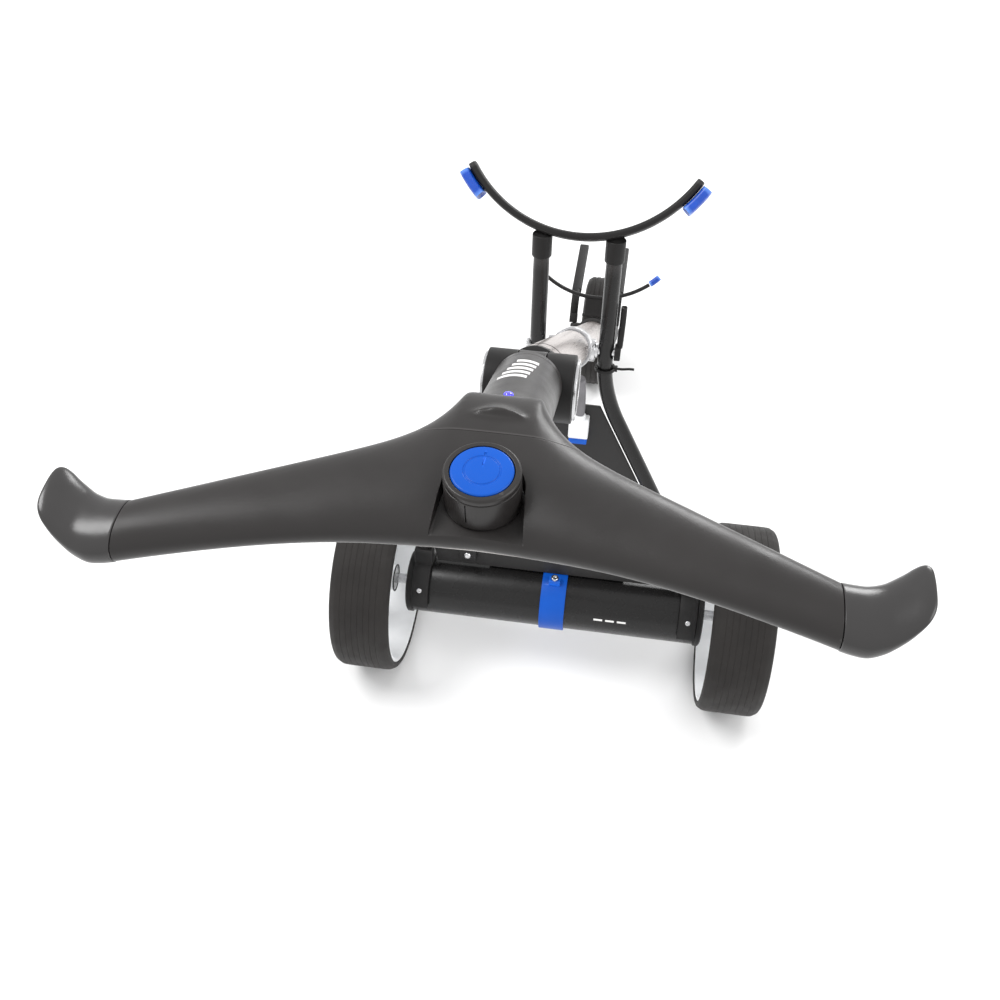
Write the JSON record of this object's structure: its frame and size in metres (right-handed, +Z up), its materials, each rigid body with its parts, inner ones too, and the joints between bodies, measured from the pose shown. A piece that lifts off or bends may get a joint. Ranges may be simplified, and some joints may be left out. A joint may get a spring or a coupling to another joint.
{
  "type": "electric golf trolley",
  "caption": "Electric golf trolley: folding shaft with a gull-wing handle and speed knob, tubular frame on a motor housing, wide rear wheels, a front wheel and U-shaped bag cradles.",
  "frame": {"origin": "centre of the bounding box at ground level", "axes": "+Y travel direction, towards the front wheel; +X right; +Z up"},
  "size_m": [0.586, 1.3806, 0.9254],
  "materials": {
    "black_plastic": "satin moulded black plastic",
    "grip_plastic": "satin dark charcoal plastic with a very fine texture",
    "cap_plastic": "slightly glossier charcoal plastic",
    "lip_plastic": "satin light grey plastic",
    "blue_plastic": "bright royal blue plastic",
    "blue_rubber": "royal blue rubber",
    "frame_paint": "semi-gloss black powder coat",
    "gear_casting": "black painted casting",
    "silver_tube": "satin anodised silver with a warm tint",
    "steel": "bright steel",
    "copper_core": "copper windings on a laminated core",
    "white_plastic": "white plastic",
    "tyre_rubber": "smooth dark grey tyre rubber",
    "lamp_lens": "blue lamp lens, lit",
    "circuit_board": "green circuit board",
    "battery_case": "black battery case",
    "lead_sheath": "grey cable sheath"
  },
  "bodies": {
    "chassis": {"motor_housing": "frame_paint", "clamp_band": "blue_plastic", "clamp_screw": "steel", "housing_cap_left": "black_plastic", "housing_cap_right": "black_plastic", "wheel_bearing_left": "steel", "wheel_bearing_right": "steel", "motor_can_left": "steel", "motor_can_right": "steel", "gear_case_left": "gear_casting", "gear_case_right": "gear_casting", "frame_tube_left": "frame_paint", "frame_tube_right": "frame_paint", "tube_foot_left": "black_plastic", "tube_foot_right": "black_plastic", "upper_cradle": "black_plastic", "upper_pad_left": "blue_rubber", "upper_pad_right": "blue_rubber", "battery_carrier": "black_plastic", "battery_pack": "battery_case", "power_socket": "blue_plastic", "power_plug": "white_plastic", "power_lead": "lead_sheath", "cable_tie": "black_plastic", "pivot_bolt_left": "steel", "pivot_bolt_right": "steel"},
    "shaft": {"main_shaft": "silver_tube", "handle_barrel": "black_plastic", "handle_pin": "steel", "barrel_cap": "steel", "frame_clamp": "steel", "front_fork": "black_plastic", "front_axle": "steel", "lower_cradle": "black_plastic", "lower_pad_left": "blue_rubber", "lower_pad_right": "blue_rubber", "bag_stop_left": "black_plastic", "bag_stop_right": "black_plastic"},
    "handle": {"grip_upper": "grip_plastic", "grip_lower": "lip_plastic", "neck_cover": "grip_plastic", "end_cap_left": "cap_plastic", "end_cap_right": "cap_plastic", "control_board": "circuit_board", "status_lamp": "lamp_lens"},
    "knob": {"speed_knob": "grip_plastic"},
    "button": {"power_button": "blue_plastic"},
    "lever": {"fold_lever": "black_plastic"},
    "front_wheel": {"front_tyre": "tyre_rubber", "front_rim": "black_plastic"},
    "left_wheel": {"rear_tyre_left": "tyre_rubber", "rear_rim_left": "white_plastic", "output_shaft_left": "steel"},
    "right_wheel": {"rear_tyre_right": "tyre_rubber", "rear_rim_right": "white_plastic", "output_shaft_right": "steel"},
    "left_armature": {"armature_left": "copper_core"},
    "right_armature": {"armature_right": "copper_core"},
    "left_release": {"release_button_left": "blue_plastic"},
    "right_release": {"release_button_right": "blue_plastic"}
  },
  "joints": [
    {"name": "frame_fold", "type": "hinge", "parent": "chassis", "child": "shaft", "pos_m": [0, -0.02183, 0.53515], "axis": [1, 0, 0], "range_deg": [-36, 0]},
    {"name": "handle_tilt", "type": "hinge", "parent": "shaft", "child": "handle", "pos_m": [0, -0.41906, 0.80945], "axis": [1, 0, 0], "range_deg": [-80, 60]},
    {"name": "knob_turn", "type": "hinge", "parent": "handle", "child": "knob", "pos_m": [0, -0.62483, 0.916], "axis": [0, -0.0872, 0.9962], "range_deg": [0, 270]},
    {"name": "power_press", "type": "slide", "parent": "knob", "child": "button", "axis": [0, 0.0872, -0.9962], "range_m": [0, 0.0014], "stiffness_N_per_m": 600},
    {"name": "lever_swing", "type": "hinge", "parent": "chassis", "child": "lever", "pos_m": [0, -0.02183, 0.53515], "axis": [1, 0, 0], "range_deg": [-80, 0]},
    {"name": "front_wheel_spin", "type": "hinge", "parent": "shaft", "child": "front_wheel", "pos_m": [0, 0.59341, 0.097], "axis": [1, 0, 0], "continuous": true},
    {"name": "left_wheel_spin", "type": "hinge", "parent": "chassis", "child": "left_wheel", "pos_m": [-0.25, -0.06683, 0.13], "axis": [1, 0, 0], "continuous": true},
    {"name": "right_wheel_spin", "type": "hinge", "parent": "chassis", "child": "right_wheel", "pos_m": [0.25, -0.06683, 0.13], "axis": [1, 0, 0], "continuous": true},
    {"name": "left_armature_spin", "type": "hinge", "parent": "chassis", "child": "left_armature", "pos_m": [-0.06, -0.06683, 0.13], "axis": [1, 0, 0], "continuous": true},
    {"name": "right_armature_spin", "type": "hinge", "parent": "chassis", "child": "right_armature", "pos_m": [0.06, -0.06683, 0.13], "axis": [1, 0, 0], "continuous": true},
    {"name": "left_release_press", "type": "slide", "parent": "left_wheel", "child": "left_release", "axis": [1, 0, 0], "range_m": [0, 0.0035], "stiffness_N_per_m": 500},
    {"name": "right_release_press", "type": "slide", "parent": "right_wheel", "child": "right_release", "axis": [-1, 0, 0], "range_m": [0, 0.0035], "stiffness_N_per_m": 500}
  ],
  "couplings": [
    {"joint": "left_armature_spin", "follows": "left_wheel_spin", "ratio": 6},
    {"joint": "right_armature_spin", "follows": "right_wheel_spin", "ratio": 6}
  ]
}
